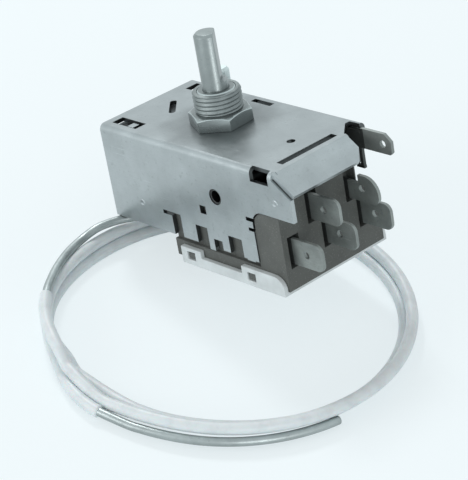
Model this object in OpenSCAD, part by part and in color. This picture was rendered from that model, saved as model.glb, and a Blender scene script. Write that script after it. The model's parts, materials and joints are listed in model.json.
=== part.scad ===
// Panel-mounted refrigerator temperature control with a coiled sensing capillary.
// Row frame: origin on the shaft axis, on the collar face where a panel seats,
// +Z out along the shaft, +X along the housing towards the terminals.
// Inside the modules x, y and z start at the housing's near left top corner.

/* [Housing] */
// Length of the pressed housing up to its bend at the terminal end
frame_l = 57.5; // [57:0.5:60]
// Width of the housing over its side plates
frame_w = 30; // [29.5:0.5:32]
// Depth of the side plates below the top plate
frame_h = 23; // [22.5:0.5:24]
// Thickness of the steel sheet
sheet_t = 1; // [0.8:0.1:1]
// Outside radius of the long bends
bend_r = 1.5; // [1.3:0.1:1.8]
// Angle by which the end tongue slopes down
tongue_a = 34; // [28:1:40]
// Length of the end tongue
tongue_l = 7.3; // [6:0.1:8]
// Reach of the near side plate's arm over the terminals
arm_x = 62.8; // [60:0.1:64]

/* [Spindle] */
// Distance of the shaft axis from the open end of the housing
shaft_x = 26; // [25:0.5:27]
// Diameter of the control shaft
shaft_d = 6; // [5.9:0.05:6.1]
// Height of the shaft's tip over the top plate
shaft_top = 21.5; // [18:0.5:30]
// Distance from the shaft axis to its flat
flat_off = 1.6; // [1.4:0.1:2.2]
// Height of the bushing's collar, on which a panel seats
collar_h = 3.2; // [3:0.1:3.6]
// Width across the flats of that hexagonal collar
collar_af = 13; // [12.6:0.1:13.4]
// Diameter of the bushing's thread
thread_d = 9; // [8.8:0.1:9.2]
// Height of the bushing's thread over the top plate
thread_top = 8.2; // [7.8:0.1:9]
// Diameter of the round nut
nut_d = 11.2; // [10.6:0.2:12]
// Whole turn of the shaft between its stops, in degrees
shaft_turn = 240; // [180:10:240]
// Rise of the cam over that turn
cam_rise = 2.8; // [2:0.1:2.8]

/* [Switch] */
// Lowest face of the switch base, below the top plate
base_lo = 28.3; // [28:0.1:29]
// Where the switch base starts along the housing
base_x = 20.5; // [20:0.5:21]
// Width of a spade terminal
blade_w = 6.3; // [6.2:0.1:6.4]
// Thickness of a spade terminal
blade_t = 0.8; // [0.8:0.1:0.8]
// Reach of the spade tips along the housing
blade_x = 66.4; // [64:0.2:68]
// Height of the upper row of terminals, below the top plate
row_hi = 11.7; // [11.5:0.1:12]
// Height of the lower row of terminals, below the top plate
row_lo = 19; // [18.8:0.1:19.4]

/* [Capillary] */
// Diameter of the bare copper capillary
cap_d = 2; // [1.8:0.1:2.2]
// Diameter of the plastic sleeve over it
sleeve_d = 2.8; // [2.6:0.1:3]
// Radius of the coil, at the middle of its bundle
coil_r = 40.5; // [38:0.5:42]
// Tilt between the housing and the surface that the coil lies on
lie_a = 13.4; // [10:0.1:15]

/* [Hidden] */
$fn = 48;
mid_y = frame_w / 2;
shaft_r = shaft_d / 2;
run = 0.05;
// Far edge of the end tongue
tongue_far = 22.9;
// Pivot of the main lever, seen as the round hole in the side plates
pivot = [37.9, -9.8];
pivot_r = 1.9;
// Axis of the range spring, under the slide
spring_y = 8;
spring_z = -7;
spring_r = 2.35;
spring_wire = 0.8;
// Centre of the pressure element
cup = [11.5, mid_y];
lever_z = -12.2;
cover_lo = -base_lo - 0.9;
// Sideways places of the spades, from the near side
near_y = 3.5;
middle_y = 13.8;
far_y = 24.8;
upper_near_y = 10.2;
upper_far_y = 22;
// The deck of the switch base and its plunger
deck_z = -14;
plunger_x = 43;
post_x = 46.8;
blade_z = -22.2;
contact_x = 29.5;
arch_x = 49.2;
arm_lo = 10.4;
steel = [0.72, 0.75, 0.75];
dark_steel = [0.42, 0.44, 0.43];
phenolic = [0.27, 0.28, 0.27];
brass = [0.62, 0.6, 0.5];
white = [0.86, 0.88, 0.88];
// Middle of the coil, in the row frame
coil_c = [13.4, -17.5, -40.7];
// Where the lead enters the sleeve and where the sleeve ends, round the coil, in degrees
lead_in = 216;
sleeve_end = 278;
// Turn of the bare end beyond the sleeve
tip_turn = 170;
// Route of the bare lead from the pressure element to the coil, in the row frame
lead_route = [
    [-14.5, 0, -24.7], [-14.5, 0, -26.6], [-14.8, -0.6, -28.5], [-16.4, -2.8, -29.9],
    [-19, -6, -29.7], [-21.6, -9.3, -28.4], [-23.9, -12.8, -27.5], [-25.5, -16.8, -27.2],
    [-26.2, -21.4, -27.1], [-26.2, -26, -27.8], [-25.9, -30.4, -29.2], [-25.2, -34.2, -30.7],
    [-23.9, -37.4, -31.9], [-22, -40.2, -33.1], [-19.8, -42.1, -34]
];

// Puts the housing's corner where the row frame wants it
module place() {
    translate([-shaft_x, -mid_y, -collar_h]) children();
}

// A bar along Y between two faces, at a place in the X-Z plane
module bar_y(p, r, y0, y1) {
    translate([p[0], y0, p[1]]) rotate([-90, 0, 0]) cylinder(r = r, h = y1 - y0);
}

// A flat outline drawn in X and Z, as a sheet from y0 to y1
module sheet_xz(y0, y1) {
    translate([0, y1, 0]) rotate([90, 0, 0]) linear_extrude(y1 - y0) children();
}

// A round bar or hole along X
module bar_x(y, z, r, x0, x1) {
    translate([x0, y, z]) rotate([0, 90, 0]) cylinder(r = r, h = x1 - x0);
}

// A box from one corner to the other
module block(a, b) {
    translate(a) cube(b - a);
}

// Catmull-Rom point between p[i] and p[i + 1]
function last(p) = len(p) - 1;
function at(p, i) = p[max(0, min(last(p), i))];
function spline(p, i, t) =
    let (a = at(p, i - 1), b = at(p, i), c = at(p, i + 1), d = at(p, i + 2))
    0.5 * (2 * b + (c - a) * t + (2 * a - 5 * b + 4 * c - d) * t * t + (3 * b - a - 3 * c + d) * t * t * t);
function smooth(p, n) = concat(
    [for (i = [0 : last(p) - 1]) for (k = [0 : n - 1]) spline(p, i, k / n)],
    [p[last(p)]]
);
function unit(v) = v / norm(v);
// Direction of a path at one of its points
function along(p, i) = unit(at(p, i + 1) - at(p, i - 1));
// Sideways vectors carried along the path without twisting
function carry(p, i, u) =
    let (t = along(p, i), v = unit(u - (u * t) * t))
    i >= last(p) ? [v] : concat([v], carry(p, i + 1, v));

// A round tube swept along the points of a path, with flat ends
module tube(p, r, sides, side) {
    u = carry(p, 0, side);
    rings = [
        for (i = [0 : last(p)])
            let (t = along(p, i), v = cross(t, u[i]))
            for (k = [0 : sides - 1])
                p[i] + r * (cos(360 * k / sides) * u[i] + sin(360 * k / sides) * v)
    ];
    walls = [
        for (i = [0 : last(p) - 1]) for (k = [0 : sides - 1])
            let (a = i * sides + k, b = i * sides + (k + 1) % sides)
            [a, a + sides, b + sides, b]
    ];
    caps = [
        [for (k = [0 : sides - 1]) k],
        [for (k = [sides - 1 : -1 : 0]) last(p) * sides + k]
    ];
    polyhedron(points = rings, faces = concat(walls, caps), convexity = 10);
}

// Quarter-round bend along the top edge of a side plate
module long_bend() {
    translate([0, bend_r, -bend_r]) rotate([0, 90, 0]) difference() {
        intersection() {
            cylinder(r = bend_r, h = frame_l);
            translate([-bend_r, -bend_r, 0]) cube([bend_r, bend_r, frame_l]);
        }
        translate([0, 0, -1]) cylinder(r = bend_r - sheet_t, h = frame_l + 2);
    }
}

// Cuts of both side plates: the arch over the switch base and the notches
module common_side_cuts() {
    translate([arch_x + 3.4, -arm_lo - 3.4]) circle(r = 3.4);
    translate([arch_x, -40]) square([20, 40 - arm_lo - 3.4]);
    translate([arch_x + 3.4, -40]) square([20, 40 - arm_lo]);
    translate([18.2, -18.3]) square([4, 0.9]);
    translate([21.1, -40]) square([3.1, 22.6]);
    translate([29.1, -40]) square([3.9, 21.4]);
    translate([40, -40]) square([4.4, 21.3]);
}

// Near side plate, drawn in X and Z
module near_outline() {
    difference() {
        union() {
            translate([0, -frame_h]) square([arch_x, frame_h - bend_r]);
            polygon([
                [arch_x, -arm_lo], [arch_x, -bend_r], [frame_l, -bend_r],
                [arm_x, -bend_r - (arm_x - frame_l) * tan(tongue_a)], [arm_x, -arm_lo]
            ]);
            translate([arch_x, -14]) square([3.4, 5]);
            translate([33, -frame_h - 0.8]) square([1.8, 2]);
            translate([45.4, -frame_h - 0.3]) square([2.6, 2]);
        }
        common_side_cuts();
        translate([50.8, -3.1]) square([5.6, 4]);
        translate([34.8, -40]) square([2.8, 19.2]);
        translate([31.8, -15.1]) square([2, 2]);
        translate([47.2, -13.2]) square([3, 0.9]);
        translate([47.6, -15.6]) square([2, 0.8]);
        translate(pivot) circle(r = pivot_r + 0.01);
    }
}

// Far side plate, which stops at the bend
module far_outline() {
    difference() {
        union() {
            translate([0, -frame_h]) square([arch_x, frame_h - bend_r]);
            translate([arch_x, -14]) square([4.4, 14 - bend_r]);
            translate([arch_x, -6]) square([7, 6 - bend_r]);
        }
        common_side_cuts();
        translate(pivot) circle(r = pivot_r + 0.01);
        translate([48.2, -4.4]) circle(r = 1.11);
    }
}

// Cuts through the top plate
module top_cuts() {
    block([2, 2.4, -4], [10.4, 5.6, 4]);
    block([2.8, 24.4, -2], [7, 28, 4]);
    block([23.6, 26.2, -4], [30, 27.7, 4]);
    block([frame_l - 3, 4.9, -4], [frame_l - 1.1, tongue_far - 1.4, 4]);
    block([50.8, -1, -3.1], [56.4, 1.5, 4]);
    translate([0, 0, -2.6]) linear_extrude(8) polygon([
        [53.3, 28.4], [53.3, 27], [57, tongue_far], [70, tongue_far], [70, 40], [56.2, 40], [56.2, 28.4]
    ]);
    translate([8.5, 15.4, -4]) rotate(-44) {
        translate([-3, -0.8, 0]) cube([6, 1.6, 8]);
        for (x = [-3, 3]) translate([x, 0, 0]) cylinder(r = 0.8, h = 8);
    }
    translate([49.1, 14.5, -4]) cylinder(r = 1, h = 8);
    translate([shaft_x, mid_y, -4]) cylinder(r = 5, h = 8);
    translate([20.4, 22.1, -4]) cylinder(r = 1.6, h = 8);
}

// Pressed housing: an inverted channel with a sloping tongue at its end
module frame() {
    color(steel) place() difference() {
        union() {
            block([0, bend_r, -sheet_t], [frame_l, frame_w - bend_r, 0]);
            long_bend();
            translate([0, frame_w, 0]) mirror([0, 1, 0]) long_bend();
            sheet_xz(0, sheet_t) near_outline();
            sheet_xz(frame_w - sheet_t, frame_w) far_outline();
            bar_y([frame_l, -sheet_t], sheet_t, bend_r, tongue_far);
            translate([frame_l, 0, 0]) rotate([0, tongue_a, 0]) translate([0, 0, -sheet_t]) linear_extrude(sheet_t)
                polygon([
                    [0, 0.6], [tongue_l, 0.6], [tongue_l, tongue_far - 2.6],
                    [tongue_l - 3, tongue_far], [0, tongue_far]
                ]);
        }
        top_cuts();
    }
}

// Turned bushing with a hexagonal collar, swaged into the top plate
module bushing() {
    color(steel) place() translate([shaft_x, mid_y, 0]) difference() {
        union() {
            rotate_extrude() union() {
                translate([0, collar_h - 0.5]) square([thread_d / 2, thread_top - collar_h + 0.1]);
                polygon([
                    [0, thread_top - 0.4], [thread_d / 2, thread_top - 0.4],
                    [thread_d / 2 - 0.4, thread_top], [0, thread_top]
                ]);
                translate([0, -sheet_t]) square([5, sheet_t + 0.5]);
                translate([0, -sheet_t - 0.8]) square([6.2, 0.8]);
            }
            intersection() {
                rotate(35) cylinder(r = collar_af / 2 / cos(30), h = collar_h, $fn = 6);
                rotate_extrude() polygon([
                    [0, 0], [collar_af / 2 + 1.6, 0], [collar_af / 2 + 1.6, collar_h - 0.9],
                    [collar_af / 2 - 0.2, collar_h], [0, collar_h]
                ]);
            }
        }
        translate([0, 0, -5]) cylinder(r = shaft_r + run, h = 20);
    }
}

// Round ring nut on the bushing's thread
module mounting_nut() {
    nut_top = thread_top - 0.2;
    color([0.6, 0.63, 0.62]) place() translate([shaft_x, mid_y, 0]) rotate_extrude() polygon([
        [thread_d / 2, collar_h], [nut_d / 2 - 0.3, collar_h], [nut_d / 2, collar_h + 0.3],
        [nut_d / 2, nut_top - 0.5], [nut_d / 2 - 0.5, nut_top], [thread_d / 2, nut_top]
    ]);
}

// Pin beside the bushing that keys the control to its panel
module locating_pin() {
    color(steel) place() translate([20.4, 22.1, -1.6]) rotate_extrude() polygon([
        [0, 0], [2.2, 0], [2.2, 0.6], [1.6, 0.6], [1.6, 10.4], [1.1, 11.1], [0, 11.1]
    ]);
}

// Control shaft with its flat, turned in the bushing
module control_shaft() {
    color([0.62, 0.65, 0.64]) place() translate([shaft_x, mid_y, 0]) difference() {
        rotate_extrude() polygon([
            [0, -4.3], [shaft_r - 0.3, -4.3], [shaft_r, -4], [shaft_r, -3.95], [shaft_r - 0.5, -3.95],
            [shaft_r - 0.5, -3.45], [shaft_r, -3.45], [shaft_r, shaft_top - 0.6],
            [shaft_r - 0.6, shaft_top], [0, shaft_top]
        ]);
        rotate(44) translate([flat_off, -5, 10]) cube([10, 10, 20]);
    }
}

// Radius of the cam at an angle about the shaft
function cam_r(a) = 6.8 + cam_rise / shaft_turn * (180 - a);

// Spiral cam under the top plate
module range_cam() {
    color(brass) place() translate([shaft_x, mid_y, -3.4]) difference() {
        linear_extrude(1.35) polygon([for (a = [50 : 5 : 310]) cam_r(a) * [cos(a), sin(a)]]);
        translate([0, 0, -1]) cylinder(r = shaft_r, h = 4);
    }
}

// Open ring in the shaft's groove, under the cam
module shaft_clip() {
    color(dark_steel) place() translate([shaft_x, mid_y, -3.92]) difference() {
        cylinder(r = 4.6, h = 0.44);
        translate([0, 0, -1]) cylinder(r = shaft_r - 0.5, h = 3);
        rotate(35) translate([0, -1.9, -1]) cube([6, 3.8, 3]);
    }
}

// Slide that the cam pushes, guided under the top plate
module range_slide() {
    color(steel) place() difference() {
        union() {
            block([1.6, 2.9, -2.3], [17.4, 19.4, -1.3]);
            block([6.6, 3, -1.4], [8.6, 5, -0.3]);
            block([16.4, 13.2, -4], [19, 16.8, -2.1]);
            block([3.4, 5, -10], [4.6, 11, -2.2]);
        }
        bar_x(spring_y, spring_z, 1.5, 0, 8);
    }
}

// Screw that sets the spring's tension
module range_screw() {
    color(brass) place() difference() {
        union() {
            bar_x(spring_y, spring_z, 2.4, 1.7, 3.4);
            bar_x(spring_y, spring_z, 1.45, 3.3, 14);
        }
        block([1, spring_y - 3, spring_z - 0.4], [2.3, spring_y + 3, spring_z + 0.4]);
    }
}

// Threaded plug that carries the end of the spring
module spring_nut() {
    color(brass) place() difference() {
        bar_x(spring_y, spring_z, spring_r - spring_wire / 2, 9.6, 13);
        bar_x(spring_y, spring_z, 1.45, 9, 14);
    }
}

// Extension spring between the slide and the main lever
module range_spring() {
    turns = 15;
    x0 = 9.9;
    x1 = 30.4;
    coil = [
        for (i = [0 : 12 * turns]) let (a = 30 * i)
            [x0 + (x1 - x0) * i / (12 * turns), spring_y + spring_r * cos(a), spring_z + spring_r * sin(a)]
    ];
    hook = [
        [x1 + 0.3, spring_y + 1.9, spring_z + 1.3], [x1 + 0.6, spring_y + 1, spring_z + 1.7],
        [x1 + 1.1, spring_y + 0.2, spring_z + 1.2], [x1 + 1.8, spring_y, spring_z + 0.4],
        [x1 + 2.6, spring_y, spring_z], [x1 + 5.4, spring_y, spring_z]
    ];
    color(dark_steel) place() tube(concat(coil, hook), spring_wire / 2, 6, [0, 1, 0]);
}

// Bell-crank lever between the pressure element, the spring and the switch
module main_lever() {
    color(steel) place() difference() {
        union() {
            block([7.5, 9, lever_z], [34, 21, lever_z + 1]);
            block([32.4, 3.2, lever_z], [42, 26.8, lever_z + 1]);
            block([41, 11, lever_z], [45.4, 19, lever_z + 1]);
            block([33.6, 5.4, lever_z], [34.6, 10.6, -4.6]);
            for (y = [3.2, 25.8]) {
                bar_y(pivot, 3, y, y + 1);
                block([pivot[0] - 3, y, lever_z], [pivot[0] + 3, y + 1, pivot[1]]);
            }
        }
        bar_y(pivot, pivot_r + run, 0, frame_w);
        bar_x(spring_y, spring_z, 1, 30, 36);
    }
}

// Hollow pin across the housing on which the lever turns
module pivot_pin() {
    color(dark_steel) place() difference() {
        bar_y(pivot, pivot_r, 0.2, frame_w - 0.2);
        bar_y(pivot, pivot_r - 0.5, -1, frame_w + 1);
    }
}

// Plate that carries the pressure element between the side plates
module element_bracket() {
    color(steel) place() difference() {
        union() {
            block([1.2, sheet_t, -22.9], [19.8, frame_w - sheet_t, -22]);
            for (y = [sheet_t, frame_w - sheet_t - 0.8]) block([6, y, -22.5], [16, y + 0.8, -17]);
        }
        translate([cup[0], cup[1], -25]) cylinder(r = 3, h = 5);
    }
}

// Sealed pressure element with its rolled rim
module power_element() {
    color(brass) place() translate([cup[0], cup[1], 0]) rotate_extrude() difference() {
        union() {
            translate([0, -22]) square([7.4, 2.5]);
            polygon([[0, -20], [7.4, -20], [8.6, -19.4], [8.6, -18], [7.2, -17.2], [4, -16.6], [0, -16.6]]);
            translate([0, -23.6]) square([2.4, 2]);
        }
        translate([0, -18.6]) square([2.05, 4]);
        translate([0, -24]) square([cap_d / 2, 2.6]);
    }
}

// Push pin that the element's diaphragm lifts against the lever
module element_plunger() {
    color(steel) place() translate([cup[0], cup[1], 0]) {
        translate([0, 0, -18.4]) cylinder(r = 2, h = 5.2);
        translate([0, 0, -13.6]) cylinder(r = 3, h = 1.2);
    }
}

// Bare lead from the pressure element to the coil
module capillary_lead() {
    color(dark_steel) tube(smooth(lead_route, 3), cap_d / 2, 8, [0, 1, 0]);
}

// Lays what is drawn flat onto the coil's own plane
module on_coil_plane() {
    translate(coil_c) rotate([0, lie_a, 0]) children();
}

// One strand of the coil, as a part of a circle laid at a radius and a height
module strand(dr, h, r, from, turn) {
    rotate([0, 0, from]) rotate_extrude(angle = turn, $fn = 96)
        translate([coil_r + dr, h]) circle(r = r, $fn = 16);
}

// Sleeved coil: a turn on the surface, one on top, and the overlap where the lead comes in
module capillary_coil() {
    step = sleeve_d - 0.1;
    color(white) on_coil_plane() {
        strand(-step / 2, -1.2, sleeve_d / 2, 0, 360);
        strand(0, step * 0.866 - 1.2, sleeve_d / 2, 0, 360);
        strand(step / 2, -1.2, sleeve_d / 2, lead_in, sleeve_end - lead_in);
    }
}

// Bare end of the capillary, round the outside of the coil
module sensing_tip() {
    color(dark_steel) on_coil_plane() strand(1.15, -1.6, cap_d / 2, sleeve_end, tip_turn);
}

// One spade's outline in X and Z, with rounded corners and its detent hole
module spade(x0, z) {
    r = 1.9;
    difference() {
        union() {
            translate([x0, z - blade_w / 2]) square([blade_x - r - x0, blade_w]);
            translate([blade_x - r - 1, z - blade_w / 2 + r]) square([r + 1, blade_w - 2 * r]);
            for (s = [-1, 1]) translate([blade_x - r, z + s * (blade_w / 2 - r)]) circle(r = r, $fn = 32);
        }
        translate([blade_x - 4.9, z]) circle(r = 0.85, $fn = 24);
    }
}

// A spade terminal with its tail inside the base
module terminal(y, z, x0) {
    color(dark_steel) place() sheet_xz(y - blade_t / 2, y + blade_t / 2) spade(x0, z);
}

module terminal_near() {
    terminal(near_y, -row_lo - 0.6, 50);
}

module terminal_middle() {
    terminal(middle_y, -row_lo, 47.5);
}

module terminal_far() {
    terminal(far_y, -row_lo, 46);
}

module terminal_upper_near() {
    terminal(upper_near_y, -row_hi, 50);
}

// This spade has a narrow root and a rounded head
module terminal_upper_far() {
    top = blade_w / 2 - row_hi;
    color(dark_steel) place() sheet_xz(upper_far_y - blade_t / 2, upper_far_y + blade_t / 2) difference() {
        spade(50, -row_hi);
        translate([frame_l - 3, top - 1.9]) square([6.1, 4]);
        translate([blade_x - 4, top - 4]) difference() {
            square([6, 6]);
            circle(r = 4);
        }
    }
}

// Slot and pocket that hold one spade in the end of the base
module spade_seat(y, z, x0) {
    block([x0, y - blade_t / 2, z - blade_w / 2], [60, y + blade_t / 2, z + blade_w / 2]);
    block([frame_l - 2.5, y - 1.7, z - 3.7], [60, y + 1.7, z + 3.7]);
}

// Moulded switch base with its cavity, deck and terminal head
module switch_base() {
    color(phenolic) place() difference() {
        union() {
            block([base_x, 0.3, -base_lo], [frame_l, frame_w - 0.3, -24.2]);
            block([base_x, 1.2, -24.3], [arch_x, frame_w - 1.2, deck_z]);
            block([arch_x, 0.3, -24.3], [frame_l, frame_w - 0.3, -15.5]);
            block([48, 1.2, -15.6], [frame_l, 24, -7.9]);
            sheet_xz(0.3, 1.3) {
                translate([arch_x + 3.4, -arm_lo - 3.4]) circle(r = 3.1);
                translate([arch_x + 0.3, -15.6]) square([frame_l - arch_x - 0.3, 2]);
                translate([arch_x + 3.4, -15.6]) square([frame_l - arch_x - 3.4, 4.9]);
            }
            for (x = [26.6, 46.7]) for (y = [-0.6, frame_w - 0.4])
                block([x - 1, y, -27.6], [x + 1, y + 1, -26.2]);
        }
        block([22.5, 4, -40], [47.5, 26, -16]);
        translate([plunger_x, mid_y, -20]) cylinder(r = 1.25, h = 10);
        translate([24.6, 6, -20]) cylinder(r = 1.5, h = 10);
        spade_seat(near_y, -row_lo - 0.6, 50);
        spade_seat(middle_y, -row_lo, 47);
        spade_seat(far_y, -row_lo, 45);
        spade_seat(upper_near_y, -row_hi, 50);
        spade_seat(upper_far_y, -row_hi, 50);
    }
}

// White cover that clips over the base from below
module cover_side() {
    difference() {
        union() {
            translate([23.2, cover_lo]) square([33.9, 2.5]);
            translate([23.2, cover_lo]) square([6.8, 4.2]);
            translate([43.6, cover_lo]) square([13.5, 4.4]);
        }
        for (x = [26.6, 46.7]) translate([x - 1.3, -27.9]) square([2.6, 2]);
        difference() {
            translate([54.1, cover_lo + 1.4]) square([4, 4]);
            translate([54.1, cover_lo + 1.4]) circle(r = 3);
        }
    }
}

module bottom_cover() {
    color(white) place() {
        block([23.2, 0, cover_lo], [57.1, frame_w, -base_lo]);
        sheet_xz(-0.9, 0.3) cover_side();
        sheet_xz(frame_w - 0.3, frame_w + 0.9) cover_side();
    }
}

// Earth spade riveted inside the far side plate
module earth_terminal() {
    far = frame_w - sheet_t;
    tip = blade_x - 0.9;
    color(dark_steel) place() difference() {
        sheet_xz(far - blade_t, far) {
            translate([45.6, -6.4]) square([10.6, 4.8]);
            polygon([
                [55.2, -5.8], [tip - 0.6, -5.8], [tip, -5.2], [tip, -2.6], [tip - 1.9, -1], [56.4, -1], [56.4, -1.6]
            ]);
            translate([55.2, -10.2]) square([0.9, 4.4]);
            translate([53.8, -10.8]) square([2.4, 0.7]);
        }
        bar_y([62.9, -3.5], 0.85, 20, 32);
        bar_y([48.2, -4.4], 1.11, 20, 32);
    }
}

module earth_rivet() {
    color(steel) place() {
        bar_y([48.2, -4.4], 1.1, frame_w - 2.2, frame_w + 0.1);
        bar_y([48.2, -4.4], 1.9, frame_w, frame_w + 0.7);
        bar_y([48.2, -4.4], 1.8, frame_w - 2.6, frame_w - 1.8);
    }
}

// Insulating pin that carries the lever's push through the deck
module switch_plunger() {
    color(brass) place() translate([plunger_x, mid_y, blade_z + 0.4]) {
        cylinder(r = 1.2, h = lever_z - 0.15 - blade_z - 0.4);
    }
}

// Spring blade of the switch
module snap_blade() {
    color(brass) place() difference() {
        union() {
            block([contact_x - 2, mid_y - 2.2, blade_z - 0.15], [post_x - 0.8, mid_y + 2.2, blade_z + 0.15]);
            bar_y([post_x - 0.8, blade_z], 0.4, mid_y - 2.2, mid_y + 2.2);
        }
        block([contact_x + 4, mid_y - 1, blade_z - 1], [plunger_x - 4, mid_y + 1, blade_z + 1]);
    }
}

module moving_contact() {
    color(steel) place() translate([contact_x, mid_y, blade_z - 0.95]) cylinder(r = 1.4, h = 0.8);
}

// Strip and button that the moving contact closes on
module fixed_contact() {
    color(brass) place() {
        block([contact_x - 2, mid_y - 2, -25.8], [46.4, mid_y + 2, -25.2]);
        block([44.4, mid_y - 2, -25.8], [46.4, far_y + 0.4, -25.2]);
        block([45.2, far_y - 0.4, -25.3], [46, far_y + 0.4, -16.4]);
        translate([contact_x, mid_y, -25.2]) cylinder(r = 1.4, h = 1.1);
    }
}

// Post that carries the blade beside the middle terminal
module contact_post() {
    color(brass) place() block([post_x - 0.3, mid_y - 2.2, -23.2], [47.5, mid_y + 2.2, -16]);
}

// Slotted screw in the deck that sets the switching gap
module differential_screw() {
    color(brass) place() difference() {
        union() {
            translate([24.6, 6, -19]) cylinder(r = 1.5, h = 5.2);
            translate([24.6, 6, deck_z]) cylinder(r = 2.3, h = 1.3);
        }
        block([20, 5.7, deck_z + 0.7], [30, 6.3, deck_z + 3]);
    }
}

frame();
bushing();
mounting_nut();
locating_pin();
control_shaft();
range_cam();
shaft_clip();
range_slide();
range_screw();
spring_nut();
range_spring();
main_lever();
pivot_pin();
element_bracket();
power_element();
element_plunger();
capillary_lead();
capillary_coil();
sensing_tip();
switch_base();
bottom_cover();
terminal_near();
terminal_middle();
terminal_far();
terminal_upper_near();
terminal_upper_far();
earth_terminal();
earth_rivet();
switch_plunger();
snap_blade();
moving_contact();
fixed_contact();
contact_post();
differential_screw();
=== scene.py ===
"""Looks of a refrigerator thermostat: housing, spindle, switch, spades and its coiled capillary.

Run as a script. Lengths are in metres, row frame.
"""

import json
import math

import bmesh
import bpy
import numpy as np
from mathutils import Matrix


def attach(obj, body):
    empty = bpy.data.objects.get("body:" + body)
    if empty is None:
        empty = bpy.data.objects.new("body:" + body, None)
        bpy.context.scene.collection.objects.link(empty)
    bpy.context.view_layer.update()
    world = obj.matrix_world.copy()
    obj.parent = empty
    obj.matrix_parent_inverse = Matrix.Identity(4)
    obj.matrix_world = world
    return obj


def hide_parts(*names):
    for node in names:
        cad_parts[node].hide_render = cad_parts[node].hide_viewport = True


bl_info = {
    "name": "Refrigerator thermostat",
    "version": (1, 0, 0),
    "blender": (4, 5, 0),
    "location": "View3D > Sidebar > Thermostat",
    "description": "Dresses the thermostat's solids and lays its capillary",
    "category": "Object",
}

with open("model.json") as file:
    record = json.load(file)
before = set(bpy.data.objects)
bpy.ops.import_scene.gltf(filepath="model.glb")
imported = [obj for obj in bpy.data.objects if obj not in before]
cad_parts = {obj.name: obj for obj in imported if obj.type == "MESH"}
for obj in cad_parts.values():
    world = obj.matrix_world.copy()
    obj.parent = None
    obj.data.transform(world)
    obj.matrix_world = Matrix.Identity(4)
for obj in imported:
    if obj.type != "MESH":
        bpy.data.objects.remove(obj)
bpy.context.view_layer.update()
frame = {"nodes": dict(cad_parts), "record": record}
RECORD = frame["record"]
BODY_OF = {n: b for b, nodes in RECORD["behaviour"]["bodies"].items() for n in nodes}
SLOT_OF = {s["node"]: s["material_slot"] for s in RECORD["subparts"]}
MM = 0.001

# The camera that was fitted to the photograph: its place, and its right, down and forward.
CAMERA_AT = (0.3268, -0.2592, 0.1651)
CAMERA_AXES = (
    (0.66760, 0.72707, -0.16025),
    (0.22231, -0.40009, -0.88910),
    (-0.71055, 0.55794, -0.42874),
)
CAMERA_LENS = 153.85
CAMERA_SENSOR = 36

# The coil lies on a surface that is tilted under the housing: the coil's middle, the tilt,
# and the directions up from the surface and down along it.
COIL_AT = np.array([13.4, -17.5, -40.7]) * MM
COIL_TILT = math.radians(13.4)
COIL_UP = np.array([math.sin(COIL_TILT), 0, math.cos(COIL_TILT)])
COIL_OUT = np.array([math.cos(COIL_TILT), 0, -math.sin(COIL_TILT)])
# The distance of two sleeved strands that touch, and how high the lowest one's middle lies
STRAND_STEP = 2.7 * MM
STRAND_LOW = -1.2 * MM
# Angles round the coil in degrees, which run on over its turns: where each turn starts, how
# far a strand takes to cross to its next place, and where the sleeve and the tube end
TURN_STARTS = (216, 576, 936)
CROSSING = 62
COIL_START = TURN_STARTS[0] + 12
SLEEVE_END = 998
TIP_START = SLEEVE_END + 8
TIP_END = 1072
ANGLE_STEP = 4.0
# A strand's places across the bundle over its turns, in halves of the bundle's width
STRAND_PLACES = (0.2, 0, -1, 1)
# How far the bare end is drawn in from the outer place, how much further at its tip and over
# how many degrees, and its height
TIP_TUCK = 0.15 * MM
TIP_END_TUCK = 0.6 * MM
TIP_TUCKED = 50
TIP_LOW = -1.6 * MM
# In metres: the steps of the tube's line, how far the sleeve reaches back over the lead, and
# the depth of the rounding at a tube's ends
TUBE_STEP = 0.001
SLEEVE_OVERLAP = 0.0035
TUBE_DOME = 0.0005
# The lead's route from the pressure element in millimetres. It is the part's own route up to
# the housing's corner, and lies up to 3 mm above it from there to the coil.
LEAD_ROUTE = (
    (-14.5, 0, -24.7),
    (-14.5, 0, -26.6),
    (-14.8, -0.6, -28.5),
    (-16.4, -2.8, -29.9),
    (-19, -6, -29.7),
    (-21.6, -9.3, -28.4),
    (-23.9, -12.8, -27.5),
    (-25.5, -16.8, -27.2),
    (-26.2, -21.4, -27.1),
    (-26.5, -26.1, -28.1),
    (-24.6, -31.7, -28.4),
    (-21.5, -37.4, -28.8),
    (-18.6, -41.4, -29.1),
    (-16, -44.6, -29.4),
)

# The range spring in millimetres: the ends of its axis, its mean radius and its turns, and
# the points of the straight end that reaches the lever
SPRING_AXIS = ((-16.1, -7, -10.2), (4.4, -7, -10.2))
SPRING_RADIUS = 2.35
SPRING_TURNS = 15
SPRING_END = (
    (4.7, -5.1, -8.9),
    (5, -6, -8.5),
    (5.5, -6.8, -9),
    (6.2, -7, -9.8),
    (7, -7, -10.2),
    (9.8, -7, -10.2),
)
# In metres: the steps of its wire's line, and the depth of the rounding at the wire's ends
SPRING_STEP = 0.0003
SPRING_DOME = 0.0004

# The ring nut in millimetres: its inner and outer radius, its rims' heights, and its grooves
NUT_RADII = (4.5, 5.6)
NUT_HEIGHTS = (0, 4.8)
NUT_PITCH = 1.0
NUT_GROOVE = 0.34

# The dimples in the near side plate: the plate's face, a dimple's radii and heights over the
# face, and the dimples' places along and up the plate, all in millimetres
SIDE_FACE = -15
DIMPLE_PROFILE = (
    (0, 0.02),
    (0.45, 0.02),
    (0.6, 0.1),
    (0.75, 0.12),
    (0.9, 0.02),
    (0.92, -0.1),
    (0, -0.1),
)
DIMPLES = ((-15.1, -20.6), (31.6, -10.1))

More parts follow.
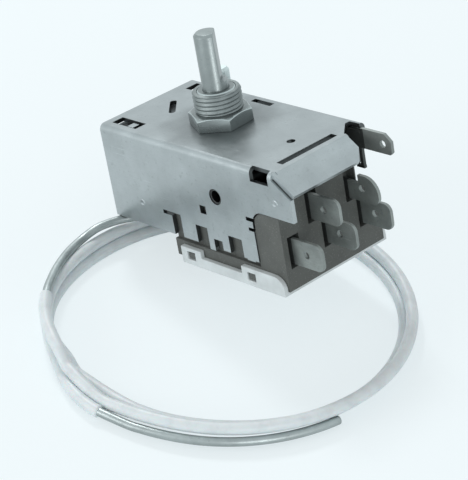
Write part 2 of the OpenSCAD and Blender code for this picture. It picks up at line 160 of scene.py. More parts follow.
# In metres: how far the floor lies under the coil's middle and how far it reaches, each
# lamp's place and size, and the point that the lamps look at
FLOOR_DROP = 2.62 * MM
FLOOR_REACH = 3
LAMPS = {
    "key": ((-0.302, 0.18, 0.66), 0.13),
    "front": ((-0.25, -0.78, 0.32), 0.5),
    "side": ((0.24, -0.12, -0.03), 0.08),
}
LAMPS_AIM = (0.005, -0.005, -0.02)


# ---- Sizes and colours ----


def length(name, text, value):
    """A length property in metres."""
    return bpy.props.FloatProperty(
        name=name, description=text, default=value, min=0, precision=5, unit="LENGTH"
    )


def tint(name, text, value):
    """A colour property."""
    return bpy.props.FloatVectorProperty(
        name=name, description=text, default=value, size=3, min=0, max=1, subtype="COLOR"
    )


def strength(name, text, value, unit="NONE"):
    """A property for how strong a light is."""
    return bpy.props.FloatProperty(name=name, description=text, default=value, min=0, unit=unit)


class ThermostatSizes(bpy.types.PropertyGroup):
    """Sizes of what the scene shapes itself."""

    sheet_edge: length("Sheet edge", "Rounding of the pressed steel's edges", 0.00012)
    spade_edge: length("Spade edge", "Rounding of the spades' edges", 0.0001)
    mould_edge: length("Moulded edge", "Rounding of the mouldings' edges", 0.0002)
    turned_edge: length("Turned edge", "Rounding of turned edges", 0.0001)
    bare_tube: length("Bare tube", "Diameter of the bare capillary", 0.002)
    sleeve: length("Sleeve", "Diameter of the capillary's sleeve", 0.0028)
    coil_radius: length("Coil radius", "Radius of the coil's bundle", 0.0405)
    spring_wire: length("Spring wire", "Diameter of the range spring's wire", 0.0008)


class ThermostatColours(bpy.types.PropertyGroup):
    """Base colours of the finishes."""

    plated_sheet: tint("Plated sheet", "Dull zinc on pressed steel", (0.45, 0.49, 0.50))
    turned_steel: tint("Turned steel", "Bushing, nut, pin and shaft", (0.33, 0.37, 0.37))
    spring_steel: tint("Spring steel", "Clip and springs", (0.22, 0.23, 0.23))
    spade_metal: tint("Spades", "Tarnished terminals", (0.28, 0.31, 0.30))
    brass: tint("Brass", "Cam, screws and element", (0.5, 0.43, 0.27))
    silver_contact: tint("Contacts", "Silver contacts", (0.7, 0.7, 0.68))
    dark_moulding: tint("Dark moulding", "Switch base", (0.082, 0.088, 0.082))
    white_moulding: tint("White moulding", "Bottom cover", (0.58, 0.63, 0.64))
    sleeve: tint("Sleeve", "Capillary's soft sleeve", (0.62, 0.68, 0.70))
    bare_capillary: tint("Bare tube", "Bare capillary", (0.36, 0.40, 0.40))


class ThermostatStage(bpy.types.PropertyGroup):
    """The floor and its light."""

    paper: tint("Paper", "Colour of the floor and the background", (0.879, 0.956, 0.982))
    key_power: strength("Key lamp", "Power of the lamp behind", 2.2, "POWER")
    front_power: strength("Front lamp", "Power of the soft front lamp", 2.6, "POWER")
    side_power: strength("Side lamp", "Power of the low lamp on the right", 0.12, "POWER")
    sky: strength("Sky", "Strength of the light all round", 0.56)


# ---- Finishes ----


class Link:
    """A socket's value in a shader, with the operators that make Math nodes."""

    def __init__(self, shading, socket):
        self.shading = shading
        self.socket = socket

    def maths(self, operation, *values):
        """A Math node on some values."""
        return self.shading.node("ShaderNodeMath", {"operation": operation}, values)

    def __add__(self, other):
        return self.maths("ADD", self, other)

    __radd__ = __add__

    def __mul__(self, other):
        return self.maths("MULTIPLY", self, other)

    __rmul__ = __mul__

    def __sub__(self, other):
        return self.maths("SUBTRACT", self, other)

    def __rsub__(self, other):
        return self.maths("SUBTRACT", other, self)

    def __lt__(self, other):
        return self.maths("LESS_THAN", self, other)

    def __gt__(self, other):
        return self.maths("GREATER_THAN", self, other)

    def __or__(self, other):
        return self.maths("MAXIMUM", self, other)

    def __abs__(self):
        return self.maths("ABSOLUTE", self)


class Shading:
    """A tree of shader nodes, made from a material or a world."""

    def __init__(self, owner):
        owner.use_nodes = True
        self.tree = owner.node_tree

    def node(self, kind, settings=None, values=(), out=0):
        """A node of that type, its settings first, then its sockets' values or links."""
        made = self.tree.nodes.new(kind)
        for key, value in (settings or {}).items():
            setattr(made, key, value)
        pairs = values.items() if isinstance(values, dict) else enumerate(values)
        for key, value in pairs:
            if isinstance(value, Link):
                self.tree.links.new(value.socket, made.inputs[key])
            else:
                made.inputs[key].default_value = value
        return Link(self, made.outputs[out])

    def output(self, name, value):
        """Links a shader to the tree's output."""
        self.tree.links.new(value.socket, self.tree.nodes[name].inputs[0])

    def seen_rays(self):
        """1 for the camera's, the glossy and the transmission rays, as three values."""
        rays = self.node("ShaderNodeLightPath").socket.node.outputs
        kinds = ("Camera", "Glossy", "Transmission")
        return [Link(self, rays[f"Is {kind} Ray"]) for kind in kinds]


class Finish(Shading):
    """One procedural material round a Principled shader."""

    def __init__(self, name, **constants):
        self.material = bpy.data.materials.new(name)
        super().__init__(self.material)
        self.shader = self.tree.nodes["Principled BSDF"]
        for socket, value in constants.items():
            self.shader.inputs[socket.replace("_", " ")].default_value = value

    def feed(self, socket, value):
        """Links a value to the shader."""
        self.tree.links.new(value.socket, self.shader.inputs[socket])

    def place(self, stretch=(1, 1, 1), turn=(0, 0, 0)):
        """Object coordinates in millimetres, stretched and turned for a pattern."""
        where = self.node("ShaderNodeTexCoord", out="Object")
        scale = tuple(1000 * s for s in stretch)
        return self.node("ShaderNodeMapping", None, {0: where, "Rotation": turn, "Scale": scale})

    def facing(self):
        """The three numbers of the surface's normal, in the object's own directions."""
        return self.parts(self.node("ShaderNodeTexCoord", out="Normal"))

    def parts(self, vector):
        """The three numbers of a vector."""
        outputs = self.node("ShaderNodeSeparateXYZ", None, (vector,)).socket.node.outputs
        return [Link(self, outputs[axis]) for axis in range(3)]

    def noise(self, where, scale, detail=3, rough=0.5):
        """Noise from 0 to 1 at a number of blotches a millimetre."""
        values = {"Vector": where, "Scale": scale, "Detail": detail, "Roughness": rough}
        return self.node("ShaderNodeTexNoise", None, values)

    def step(self, value, low, high):
        """0 below low and 1 above high."""
        return self.node("ShaderNodeMapRange", None, {0: value, 1: low, 2: high})

    def mix(self, share, first, second):
        """A colour between two."""
        first, second = (c if isinstance(c, Link) else (*c, 1) for c in (first, second))
        return self.node(
            "ShaderNodeMix", {"data_type": "RGBA"}, {0: share, 6: first, 7: second}, out=2
        )

    def bump(self, height, strength, depth):
        """A normal from a height, its depth in metres."""
        values = {"Strength": strength, "Distance": depth, "Height": height}
        self.feed("Normal", self.node("ShaderNodeBump", None, values))


def scaled(colour, factor):
    """A colour made lighter or darker."""
    return tuple(min(1.0, c * factor) for c in colour)


def painted_inside_shade(look, where):
    """1 within the housing and on the sheared walls of its openings, which get painted shade.

    A wall is sheared where its normal doesn't lie square to the sheet: across the top plate
    and its bends where the normal is level, and across the side plates where it runs along.
    The numbers compared with the place are the housing's own faces in millimetres.
    """
    x, y, z = look.parts(where)
    normal_x, normal_y, normal_z = look.facing()
    across, deep = abs(y), z < -4.25
    within = deep * (across < 13.95)
    of_top = (1 - deep) * (abs(normal_z) < 0.6) * (across < 14)
    of_side = deep * (across > 13.9) * (across < 15.2) * (abs(normal_y) < 0.5)
    of_bend = (1 - deep) * (abs(normal_x) > 0.7)
    reach = (x > -25.7) * (x < 31.25) * (z > -26.3) * (z < -3.3)
    return (within | of_top | of_side | of_bend) * reach


def metal(
    name,
    colour,
    rough,
    stretch,
    metallic=0.8,
    stain=0.12,
    grain=0.35,
    painted_top_shade=0.0,
    painted_chamfer_highlight=0.0,
):
    """Metal with rolling or turning lines, cloudy stains, dull spots, specks and scratches.

    Each of them is laid over the colour by its own share, as the colour times its own
    factor. Faces that look up may be darkened by painted shade, with a painted shadow in a
    ring round the spindle, and chamfers that slope upwards may get a painted highlight. The
    housing's inside and the walls of its openings are darkened by painted shade.
    """
    look = Finish(name, Metallic=metallic)
    where = look.place()
    lines = look.noise(look.place(stretch), 1.0, 4, 0.6)
    clouds = look.noise(where, 0.16, 4, 0.6)
    spots = look.step(look.noise(where, 1.1, 2), 0.62, 0.74)
    specks = look.step(look.noise(where, 4.5, 2), 0.66, 0.74)
    scratches = look.step(look.noise(look.place((0.12, 4, 4), (0, 0, 0.5)), 1.3, 2), 0.69, 0.73)
    shade = look.step(clouds, 0.3, 0.7)
    tone = look.mix(shade, scaled(colour, 1 - stain), scaled(colour, 1 + stain))
    layers = [
        (lines * grain, 0.72),
        (spots * 0.3, 0.6),
        (specks * 0.45, 0.5),
        (scratches * 0.4, 1.5),
    ]
    if painted_top_shade or painted_chamfer_highlight:
        x, y, _ = look.parts(where)
        upward = look.facing()[2]
        level = look.step(upward, 0.75, 0.97)
        # A painted shadow in a ring round the spindle, where the nut's shadow falls on the plate
        ring = 1 - look.step(x * x + y * y + clouds * 90, 85, 260)
        # Chamfers that slope upwards, which get a painted highlight
        sloping = look.step(upward, 0.12, 0.3) * (1 - level)
        # Painted shade on faces that look up, a painted shadow round the spindle, and a painted
        # highlight on the chamfers
        layers += [
            (level * painted_top_shade, 0.55),
            (level * ring * (painted_top_shade * 1.6), 0.3),
            (sloping * painted_chamfer_highlight, 2.4),
        ]
    # Painted shade: the housing's inside and the walls of its openings are made nearly black
    layers.append((painted_inside_shade(look, where) * 0.85, 0.12))
    for share, factor in layers:
        tone = look.mix(share, tone, scaled(colour, factor))
    look.feed("Base Color", tone)
    look.feed("Roughness", clouds * 0.14 + lines * 0.1 + spots * 0.12 + (rough - 0.13))
    look.bump(lines * 0.8 + specks * 0.5, 0.3, 0.00006)
    return look.material


def moulded(name, colour, rough, speckle, dust):
    """Moulded plastic with a matt skin, fine filler specks and a little dust."""
    look = Finish(name, Metallic=0.0)
    fine = look.noise(look.place(), 5.0, 3, 0.6)
    clouds = look.noise(look.place(), 0.22, 3)
    specks = look.step(look.noise(look.place(), 2.6, 1), 0.6, 0.72)
    tone = look.mix(look.step(clouds, 0.3, 0.7), scaled(colour, 0.9), scaled(colour, 1.12))
    tone = look.mix(specks * speckle, tone, dust)
    look.feed("Base Color", tone)
    look.feed("Roughness", fine * 0.14 + clouds * 0.1 + (rough - 0.12))
    look.bump(fine, 0.3, 0.00005)
    return look.material


def soft_sleeve(name, colour):
    """Soft drawn plastic with a faintly uneven skin and slightly darker smudges."""
    look = Finish(name, Metallic=0.0, Subsurface_Weight=0.12, Subsurface_Scale=0.001)
    smudge = look.step(look.noise(look.place(), 0.28, 4, 0.6), 0.45, 0.75)
    fine = look.noise(look.place(), 2.2, 3)
    tone = look.mix(smudge * 0.6, scaled(colour, 1.06), scaled(colour, 0.84))
    look.feed("Base Color", tone)
    look.feed("Roughness", fine * 0.16 + smudge * 0.08 + 0.34)
    look.bump(fine, 0.2, 0.00005)
    return look.material


def finishes(colours):
    """Every material by its name: a slot of the record, or the own look of a piece."""
    rolled, turned, drawn = (0.25, 3.2, 3.2), (0.3, 0.3, 7.0), (0.6, 0.6, 0.6)
    steel, spring = colours.turned_steel, colours.spring_steel
    # Name, colour, roughness, how the lines are stretched, and what else differs
    metals = (
        # The plated sheet's upward faces get painted shade, and a painted shadow round the
        # spindle
        (
            "plated_sheet",
            colours.plated_sheet,
            0.33,
            rolled,
            {"metallic": 0.9, "stain": 0.1, "painted_top_shade": 0.45},
        ),
        ("turned_steel", scaled(steel, 0.92), 0.36, turned, {"grain": 0.45}),
        ("spring_steel", spring, 0.42, drawn, {}),
        ("dark_pin", scaled(spring, 0.35), 0.4, drawn, {}),
        # The bushing's collar is a darker copy of the turned steel as painted shade, with a
        # painted highlight on its upward chamfers
        ("worn_collar", scaled(steel, 0.66), 0.3, turned, {"painted_chamfer_highlight": 0.9}),
        ("spade_metal", colours.spade_metal, 0.5, rolled, {"metallic": 0.6, "stain": 0.28}),
        ("brass", colours.brass, 0.38, turned, {}),
        ("silver_contact", colours.silver_contact, 0.3, drawn, {}),
        ("worn_thread", scaled(steel, 0.8), 0.52, drawn, {"stain": 0.4, "grain": 0.7}),
        ("bright_pin", scaled(steel, 1.95), 0.55, drawn, {}),
        ("bare_capillary", colours.bare_capillary, 0.42, drawn, {"stain": 0.2}),
    )
    # Name, colour, roughness, the specks' share and the dust's colour
    mouldings = (
        ("dark_moulding", colours.dark_moulding, 0.62, 0.35, (0.2, 0.21, 0.2)),
        ("white_moulding", colours.white_moulding, 0.5, 0.12, (0.5, 0.52, 0.5)),
    )
    made = {name: metal(name, *values, **more) for name, *values, more in metals}
    made.update({name: moulded(name, *values) for name, *values in mouldings})
    made["sleeve"] = soft_sleeve("sleeve", colours.sleeve)
    return made


# The materials, which the operator for the finishes fills in
FINISHES = {}
# Pieces whose finish isn't their slot's plain one
OWN_LOOKS = {
    "pivot_pin": "dark_pin",
    "bushing": "worn_collar",
    # The bushing's look is darkened as painted shade
    "mounting_nut": "worn_thread",
    "locating_pin": "bright_pin",
}


# ---- Shapes ----

# How near two corners of a solid and two points of a new surface have to be to count as one,
# how flat two faces have to lie to count as one, and how sharp an edge of a solid and of a
# surface has to be to stay an edge
SAME_CORNER = 2e-6
SAME_POINT = 1e-7
FLAT = math.radians(0.4)
CREASE = math.radians(35)
SURFACE_CREASE = math.radians(50)


def in_scene(name, data):
    """A new object with a mesh, a lamp or a camera as its data, in the scene."""
    obj = bpy.data.objects.new(name, data)
    bpy.context.scene.collection.objects.link(obj)
    return obj


def placed(obj, body, slot, node=None):
    """Puts a piece on its body and in its node's place, and gives it its finish."""
    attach(obj, body)
    if node:
        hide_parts(node)
    obj.data.materials.append(FINISHES[OWN_LOOKS.get(node, slot)])
    return obj


def softened(node, edge):
    """A merged copy of a solid that stands for it, its sharp edges rounded by a narrow bevel."""
    build = bmesh.new()
    build.from_mesh(frame["nodes"][node].data)
    bmesh.ops.remove_doubles(build, verts=build.verts, dist=SAME_CORNER)
    bmesh.ops.dissolve_limit(build, angle_limit=FLAT, verts=build.verts, edges=build.edges)
    mesh = bpy.data.meshes.new(node + "_shape")
    build.to_mesh(mesh)
    build.free()
    mesh.shade_smooth()
    mesh.set_sharp_from_angle(angle=CREASE)
    obj = in_scene(node + "_piece", mesh)
    bevel = obj.modifiers.new("edge", "BEVEL")
    bevel.width = edge
    bevel.segments = 2
    bevel.limit_method = "ANGLE"
    bevel.angle_limit = CREASE
    bevel.harden_normals = True
    return placed(obj, BODY_OF[node], SLOT_OF[node], node)


def grid_faces(rows, columns, closed_rows=False):
    """Quads of a grid whose columns close on themselves, as an array of corner numbers."""
    row = np.arange(rows if closed_rows else rows - 1)[:, None]
    column = np.arange(columns)[None, :]
    next_row, next_column = (row + 1) % rows, (column + 1) % columns
    quads = (
        row * columns + column,
        row * columns + next_column,
        next_row * columns + next_column,
        next_row * columns + column,
    )
    return np.stack(quads, -1).reshape(-1, 4)


def surface(name, points, body, slot, node=None, closed_rows=False):
    """A mesh of a grid of points, its columns closed; end rows that are one point are merged."""
    rows, columns = points.shape[:2]
    mesh = bpy.data.meshes.new(name)
    mesh.from_pydata(
        points.reshape(-1, 3).tolist(), [], grid_faces(rows, columns, closed_rows).tolist()
    )
    build = bmesh.new()
    build.from_mesh(mesh)
    bmesh.ops.remove_doubles(build, verts=build.verts, dist=SAME_POINT)
    bmesh.ops.recalc_face_normals(build, faces=build.faces)
    build.to_mesh(mesh)
    build.free()
    mesh.shade_smooth()
    mesh.set_sharp_from_angle(angle=SURFACE_CREASE)
    return placed(in_scene(name, mesh), body, slot, node)


def distances(line):
    """How far along a line of points each of them is."""
    return np.concatenate([[0], np.cumsum(np.linalg.norm(np.diff(line, axis=0), axis=1))])


def read_at(line, run, places):
    """The points at some distances along a line whose own points' distances are given."""
    return np.stack([np.interp(places, run, line[:, axis]) for axis in range(3)], -1)


def nearest(line, run, point, after=0.0):
    """How far along a line it comes nearest to a point, past a part of it that is left out."""
    away = np.linalg.norm(line - point, axis=1)
    return run[np.where(run < after, np.inf, away).argmin()]


def flowing(points, step):
    """The points of a Catmull-Rom curve through some points, evenly spaced by about a step.

    Between two points the curve is the cubic whose slope at each is half the way between
    its neighbours; its length is summed and read back at even distances.
    """
    given = np.asarray(points, float)
    padded = np.vstack([2 * given[0] - given[1], given, 2 * given[-1] - given[-2]])
    part = np.linspace(0, 1, 12, endpoint=False)[None, :, None]
    a, b, c, d = (padded[i : len(padded) - 3 + i][:, None] for i in range(4))
    curve = 0.5 * (
        2 * b
        + (c - a) * part
        + (2 * a - 5 * b + 4 * c - d) * part**2
        + (3 * b - a - 3 * c + d) * part**3
    )
    curve = np.vstack([curve.reshape(-1, 3), given[-1]])
    run = distances(curve)
    return read_at(curve, run, np.linspace(0, run[-1], max(8, int(run[-1] / step))))


def tube(line, radius, sides, up, dome):
    """Points of a round bar along a line.

    A ring is the line's point plus the radius times the cosine and sine of the angle round
    it, along two directions square to the line, one of them square to a fixed up. Towards
    each end the radius shrinks as a quarter of an ellipse whose depth is the dome.
    """
    ahead = np.gradient(line, axis=0)
    ahead /= np.linalg.norm(ahead, axis=1, keepdims=True)
    side = np.cross(ahead, up)
    side /= np.linalg.norm(side, axis=1, keepdims=True)
    above = np.cross(side, ahead)
    run = distances(line)
    inward = np.minimum(run, run[-1] - run)
    shrink = np.sqrt(np.clip(1 - (1 - np.clip(inward / dome, 0, 1)) ** 2, 0, 1))
    angle = np.linspace(0, 2 * math.pi, sides, endpoint=False)[None, :, None]
    ring = np.cos(angle) * side[:, None] + np.sin(angle) * above[:, None]
    return line[:, None] + (radius * shrink)[:, None, None] * ring


def with_fine_ends(line, dome):
    """The same line with extra points close to its two ends, for the domes.

    From each end they lie at the dome's depth times one less the cosine of even angles.
    """
    run = distances(line)
    near = dome * (1 - np.cos(np.linspace(0, math.pi / 2, 7)))
    middle = run[(run > dome * 1.3) & (run < run[-1] - dome * 1.3)]
    return read_at(line, run, np.concatenate([near, middle, run[-1] - near[::-1]]))


def on_coil(radius, angle, height):
    """Points over the tilted surface that the coil lies on.

    A point is the coil's middle, plus the radius times the cosine of the angle down the
    slope, plus the radius times its sine across, plus the height square to the surface.
    """
    out = (radius * np.cos(angle))[:, None] * COIL_OUT
    across = (radius * np.sin(angle))[:, None] * np.array([0, 1, 0])
    return COIL_AT + out + across + height[:, None] * COIL_UP


def ease(share):
    """0 to 1 with level ends: three times the square of the share less twice its cube."""
    share = np.clip(share, 0, 1)
    return share * share * (3 - 2 * share)


def bulge(degrees, middle, width):
    """A bell round the coil, 1 at its middle.

    It is e to the power of minus the square of the angle from the middle over the width.
    """
    away = (degrees - middle + 180) % 360 - 180
    return np.exp(-((away / width) ** 2))


def bundle(degrees):
    """The middle and the half width of the coil's bundle, and its lift off the surface.

    How far its inner and outer strands move out, in millimetres, are sums of bells round the
    coil. The middle lies halfway between them, and the half width is half of the strands'
    step and of what they move apart. The strands lie on top of each other on the left, spread
    apart after it, and the bundle springs off the surface a little at the front.
    """
    narrow, wide = bulge(degrees, 227, 24), bulge(degrees, 262, 22)
    inner = (
        -0.25
        - 0.75 * bulge(degrees, 305, 42)
        - 0.35 * bulge(degrees, 30, 60)
        + 0.6 * bulge(degrees, 203, 24)
    )
    outer = -0.3 * bulge(degrees, 60, 50) + 0.75 * bulge(degrees, 315, 34)
    middle = (inner + outer) / 2 + 0.8 * narrow - 0.1 * wide
    half = (STRAND_STEP / MM + outer - inner) / 2 * (1 - 0.88 * narrow) + 1.3 * wide
    return middle * MM, half * MM, 1.2 * MM * bulge(degrees, 312, 45)


def resting(over, under):
    """How high a strand lies over another that it rests on.

    It is the root of the square of the strands' step less that of their distance sideways.
    """
    return np.sqrt(np.clip(STRAND_STEP**2 - (over - under) ** 2, 0, None))


def coil_places(degrees, radius):
    """The sleeved strand's radius and height at an angle that runs on over its turns.

    A strand comes in on top, goes over to the inner place and then to the outer one. In the
    crossing stretch of a turn its place is eased from one to the next. It rests on the
    strand under it that holds it highest.
    """
    round_turn = (degrees - TURN_STARTS[0]) % 360
    turn = (degrees - TURN_STARTS[0]) // 360
    across = ease(round_turn / CROSSING)
    middle, half, lift = bundle(degrees)
    top, second, lowest = (
        half * np.interp(index + across, range(4), STRAND_PLACES) for index in range(3)
    )
    outer_taken = round_turn < TIP_END - TURN_STARTS[2]
    second_up = resting(second, lowest) * outer_taken
    top_up = np.maximum(
        second_up + resting(top, second), resting(top, lowest) * outer_taken
    )
    out = np.select([turn == 0, turn == 1], [top, second], lowest)
    up = np.select([turn == 0, turn == 1], [top_up, second_up], 0 * degrees)
    return radius + middle + out, STRAND_LOW + up + lift


def sleeve_line(radius):
    """The sleeved part's middle line, from the lead to where the bare end starts."""
    degrees = np.arange(COIL_START, SLEEVE_END + 0.1, ANGLE_STEP)
    out, up = coil_places(degrees, radius)
    return on_coil(out, np.radians(degrees), up)


def tip_line(radius):
    """The bare end's middle line, in the outer place near the surface, tucked in at its tip."""
    degrees = np.arange(TIP_START, TIP_END + 0.1, ANGLE_STEP)
    middle, half, lift = bundle(degrees)
    tuck = TIP_TUCK + TIP_END_TUCK * ease((degrees - TIP_END + TIP_TUCKED) / TIP_TUCKED)
    return on_coil(radius + middle + half - tuck, np.radians(degrees), lift + TIP_LOW)


def round_about(reach, angle, height):
    """Points at the reach times the cosine and sine of the angle, at the height, in metres."""
    return np.stack([reach * np.cos(angle), reach * np.sin(angle), height + 0 * angle], -1) * MM


def dimple(x, z):
    """Points of a dimple in the near side plate: its profile turned about the plate's normal."""
    radius, height = np.array(DIMPLE_PROFILE).T[:, :, None]
    angle = np.linspace(0, 2 * math.pi, 32, endpoint=False)[None, :]
    made = round_about(radius, angle, height)
    return np.stack(
        [x * MM + made[..., 0], SIDE_FACE * MM - made[..., 2], z * MM + made[..., 1]], -1
    )


def ring_thread(radii, heights, pitch, depth):
    """Points of a ring round the shaft's axis whose outside is grooved by a screw thread.

    On the outside the radius is the larger one, less the depth times the distance of
    (height / pitch - angle / turn) from the nearest whole number; the groove fades out over
    a third of a pitch at each rim, where the corner is rounded off.
    """
    low, high = heights
    angle = np.linspace(0, 2 * math.pi, 96, endpoint=False)[None, :]
    height = np.linspace(low, high, int((high - low) / pitch * 12) + 1)[:, None]
    phase = height / pitch - angle / (2 * math.pi)
    groove = 2 * np.abs(phase - np.round(phase))
    rim = np.clip(np.minimum(height - low, high - height) / (pitch * 0.35), 0, 1)
    outside = radii[1] - depth * (groove * rim + (1 - rim) ** 2)
    inside = np.full((2, angle.size), float(radii[0]))
    level = np.concatenate([height[:, 0], [high, low]])[:, None]
    return round_about(np.vstack([outside, inside]), angle, level)


def helix(axis_from, axis_to, radius, turns, per_turn):
    """A coil spring's line: a circle round an axis along X, moved on evenly along it."""
    part = np.linspace(0, 1, turns * per_turn + 1)
    angle = 2 * math.pi * turns * part
    start, stop = np.array(axis_from) * MM, np.array(axis_to) * MM
    return (
        start
        + (stop - start) * part[:, None]
        + radius * MM * np.stack([0 * angle, np.cos(angle), np.sin(angle)], -1)
    )


# ---- Operators ----


class THERMOSTAT_OT_finishes(bpy.types.Operator):
    """Make every material."""

    bl_idname = "thermostat.finishes"
    bl_label = "Finishes"

    def execute(self, context):
        FINISHES.update(finishes(context.scene.thermostat_colours))
        return {"FINISHED"}


class THERMOSTAT_OT_housing(bpy.types.Operator):
    """Pressed housing with softened edges, and the steel pieces inside it."""

    bl_idname = "thermostat.housing"
    bl_label = "Housing"

    def execute(self, context):
        edge = context.scene.thermostat_sizes.sheet_edge
        for node in (
            "frame",
            "element_bracket",
            "main_lever",
            "range_slide",
            "pivot_pin",
            "earth_rivet",
        ):
            softened(node, edge)
        return {"FINISHED"}


class THERMOSTAT_OT_dimples(bpy.types.Operator):
    """Two small coined dimples on the near side plate, each a shallow ring standing proud."""

    bl_idname = "thermostat.dimples"
    bl_label = "Dimples"

    def execute(self, context):
        for number, (x, z) in enumerate(DIMPLES, 1):
            surface(f"side_dimple_{number}", dimple(x, z), "housing", "plated_sheet")
        return {"FINISHED"}


class THERMOSTAT_OT_spindle(bpy.types.Operator):
    """Bushing, nut, keying pin, shaft, clip and cam."""

    bl_idname = "thermostat.spindle"
    bl_label = "Spindle"

    def execute(self, context):
        edge = context.scene.thermostat_sizes.turned_edge
        thread = ring_thread(NUT_RADII, NUT_HEIGHTS, NUT_PITCH, NUT_GROOVE)
        surface("mounting_nut_piece", thread, "housing", "turned_steel", "mounting_nut", True)
        for node in ("bushing", "locating_pin", "control_shaft", "shaft_clip", "range_cam"):
            softened(node, edge)
        return {"FINISHED"}


class THERMOSTAT_OT_adjuster(bpy.types.Operator):
    """Range screw, its nut and the range spring as a round wire, and the pressure element."""

    bl_idname = "thermostat.adjuster"
    bl_label = "Adjuster"

    def execute(self, context):
        sizes = context.scene.thermostat_sizes
        for node in ("range_screw", "spring_nut", "power_element", "element_plunger"):
            softened(node, sizes.turned_edge)
        turns = helix(*SPRING_AXIS, SPRING_RADIUS, SPRING_TURNS, per_turn=24)
        line = flowing(np.vstack([turns[:-1], np.array(SPRING_END) * MM]), SPRING_STEP)
        line = with_fine_ends(line, SPRING_DOME)
        # Nearly the spring's axis: the straight end runs along the axis itself, and no
        # direction is square to a line and to the line's own direction
        near_axis = np.array([1, 0.02, 0.01])
        points = tube(line, sizes.spring_wire / 2, 12, near_axis, SPRING_DOME)
        surface("range_spring_wire", points, "slide", "spring_steel", "range_spring")
        return {"FINISHED"}


class THERMOSTAT_OT_switch(bpy.types.Operator):
    """Switch base, cover and the snap switch inside."""

    bl_idname = "thermostat.switch"
    bl_label = "Switch"

    def execute(self, context):
        sizes = context.scene.thermostat_sizes
        for node in ("switch_base", "bottom_cover"):
            softened(node, sizes.mould_edge)
        for node in (
            "switch_plunger",
            "snap_blade",
            "moving_contact",
            "fixed_contact",
            "contact_post",
            "differential_screw",
        ):
            softened(node, sizes.turned_edge / 2)
        return {"FINISHED"}


class THERMOSTAT_OT_spades(bpy.types.Operator):
    """Spade terminals with stamped edges."""

    bl_idname = "thermostat.spades"
    bl_label = "Spades"

    def execute(self, context):
        edge = context.scene.thermostat_sizes.spade_edge
        for node in sorted(n for n in BODY_OF if "terminal" in n):
            softened(node, edge)
        return {"FINISHED"}


class THERMOSTAT_OT_capillary(bpy.types.Operator):
    """Capillary tube with its sleeve, laid in its coil."""

    bl_idname = "thermostat.capillary"
    bl_label = "Capillary"

    def execute(self, context):
        sizes = context.scene.thermostat_sizes
        lead = np.array(LEAD_ROUTE) * MM
        coil = sleeve_line(sizes.coil_radius)
        tip = tip_line(sizes.coil_radius)
        line = flowing(np.vstack([lead, coil, tip]), TUBE_STEP)
        run = distances(line)
        sleeved_from = nearest(line, run, coil[0]) - SLEEVE_OVERLAP
        sleeved_to = nearest(line, run, coil[-1], run[-1] / 2)
        covered = line[(run >= sleeved_from) & (run <= sleeved_to)]
        bare = tube(
            with_fine_ends(line, TUBE_DOME), sizes.bare_tube / 2, 20, COIL_UP, TUBE_DOME
        )
        cover = tube(
            with_fine_ends(covered, TUBE_DOME), sizes.sleeve / 2, 24, COIL_UP, TUBE_DOME
        )
        tube_piece = surface(
            "capillary_tube", bare, "housing", "bare_capillary", "capillary_lead"
        )
        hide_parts("sensing_tip")
        sleeve = surface("capillary_sleeve", cover, "housing", "sleeve", "capillary_coil")
        return {"FINISHED"}


class THERMOSTAT_OT_stage(bpy.types.Operator):
    """Floor, lamps, sky and the photograph's camera."""

    bl_idname = "thermostat.stage"
    bl_label = "Stage"

    def execute(self, context):
        settings = context.scene.thermostat_stage
        floor_under(settings)
        sky(settings)
        for name, (place, size) in LAMPS.items():
            lamp(name, place, size, getattr(settings, name + "_power"))
        right, down, forward = np.array(CAMERA_AXES)
        camera = in_scene("camera", bpy.data.cameras.new("camera"))
        camera.data.lens = CAMERA_LENS
        camera.data.sensor_width = CAMERA_SENSOR
        camera.data.sensor_fit = "HORIZONTAL"
        camera.matrix_world = standing(CAMERA_AT, right, -down, -forward)
        context.scene.camera = camera
        context.scene.view_settings.view_transform = "Standard"
        return {"FINISHED"}


def standing(place, right, up, back):
    """The matrix of a camera or lamp at a place, from its own three directions."""
    turned = Matrix(np.stack([right, up, back], 1).tolist()).to_4x4()
    return Matrix.Translation(place) @ turned


def floor_under(settings):
    """The tilted floor under the coil; the camera sees its paper colour and its shadows."""
    middle = COIL_AT - COIL_UP * FLOOR_DROP
    reach = (-FLOOR_REACH, FLOOR_REACH)
    along, across = np.meshgrid(reach, reach, indexing="ij")
    points = middle + along[..., None] * COIL_OUT + across[..., None] * np.array([0, 1, 0])
    mesh = bpy.data.meshes.new("floor")
    mesh.from_pydata(points.reshape(-1, 3).tolist(), [], [(0, 2, 3, 1)])
    look = Finish("floor", Roughness=0.9)
    grain = look.noise(look.place(), 0.05, 2)
    look.feed(
        "Base Color", look.mix(grain * 0.06, settings.paper, scaled(settings.paper, 0.9))
    )
    paper = look.node("ShaderNodeEmission", None, ((*settings.paper, 1), 1.0))
    camera, glossy, through = look.seen_rays()
    lit = Link(look, look.shader.outputs[0])
    share = (camera + glossy + through) * 0.7
    look.output("Material Output", look.node("ShaderNodeMixShader", None, (share, lit, paper)))
    mesh.materials.append(look.material)
    in_scene("floor", mesh)


def sky(settings):
    """A soft sky: the camera, gloss and glass see the paper colour, other rays a white light."""
    world = bpy.data.worlds.new("sky")
    look = Shading(world)
    bpy.context.scene.world = world
    light = look.tree.nodes["Background"]
    light.inputs["Color"].default_value = (1, 1, 1, 1)
    light.inputs["Strength"].default_value = settings.sky
    lit = Link(look, light.outputs[0])
    paper = look.node("ShaderNodeBackground", None, ((*settings.paper, 1), 1.0))
    camera, glossy, through = look.seen_rays()
    shown = look.node("ShaderNodeMixShader", None, (camera | glossy | through, lit, paper))
    look.output("World Output", shown)


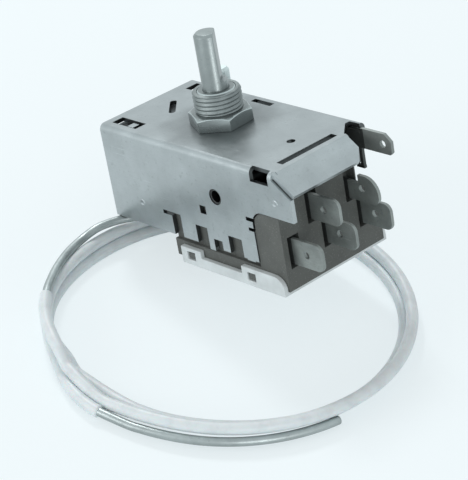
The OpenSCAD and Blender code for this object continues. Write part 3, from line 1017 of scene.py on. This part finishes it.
def lamp(name, place, size, power):
    """A square soft lamp that looks at the housing and that the camera doesn't see."""
    data = bpy.data.lights.new(name, "AREA")
    data.energy = power
    data.size = size
    away = np.array(place) - LAMPS_AIM
    away /= np.linalg.norm(away)
    right = np.cross([0, 0, 1], away)
    right /= np.linalg.norm(right)
    obj = in_scene(name, data)
    obj.matrix_world = standing(place, right, np.cross(away, right), away)
    obj.visible_camera = False


OPERATORS = (
    THERMOSTAT_OT_finishes,
    THERMOSTAT_OT_housing,
    THERMOSTAT_OT_dimples,
    THERMOSTAT_OT_spindle,
    THERMOSTAT_OT_adjuster,
    THERMOSTAT_OT_switch,
    THERMOSTAT_OT_spades,
    THERMOSTAT_OT_capillary,
    THERMOSTAT_OT_stage,
)
GROUPS = {
    "thermostat_sizes": ThermostatSizes,
    "thermostat_colours": ThermostatColours,
    "thermostat_stage": ThermostatStage,
}


class THERMOSTAT_PT_panel(bpy.types.Panel):
    """Lists the sizes, the colours, the stage's settings and the operators."""

    bl_label = "Thermostat"
    bl_idname = "THERMOSTAT_PT_panel"
    bl_space_type = "VIEW_3D"
    bl_region_type = "UI"
    bl_category = "Thermostat"

    def draw(self, context):
        for group, kind in GROUPS.items():
            box = self.layout.box()
            for name in kind.__annotations__:
                box.prop(getattr(context.scene, group), name)
        for operator in OPERATORS:
            self.layout.operator(operator.bl_idname)


def register():
    """Registers every class and puts the settings on the scene."""
    for kind in (*GROUPS.values(), *OPERATORS, THERMOSTAT_PT_panel):
        bpy.utils.register_class(kind)
    for name, kind in GROUPS.items():
        setattr(bpy.types.Scene, name, bpy.props.PointerProperty(type=kind))


def unregister():
    """Takes the settings and the classes away again."""
    for name in GROUPS:
        delattr(bpy.types.Scene, name)
    for kind in (THERMOSTAT_PT_panel, *OPERATORS[::-1], *GROUPS.values()):
        bpy.utils.unregister_class(kind)


def main():
    register()
    for operator in OPERATORS:
        getattr(bpy.ops.thermostat, operator.bl_idname.split(".")[1])()


if __name__ == "__main__":
    main()
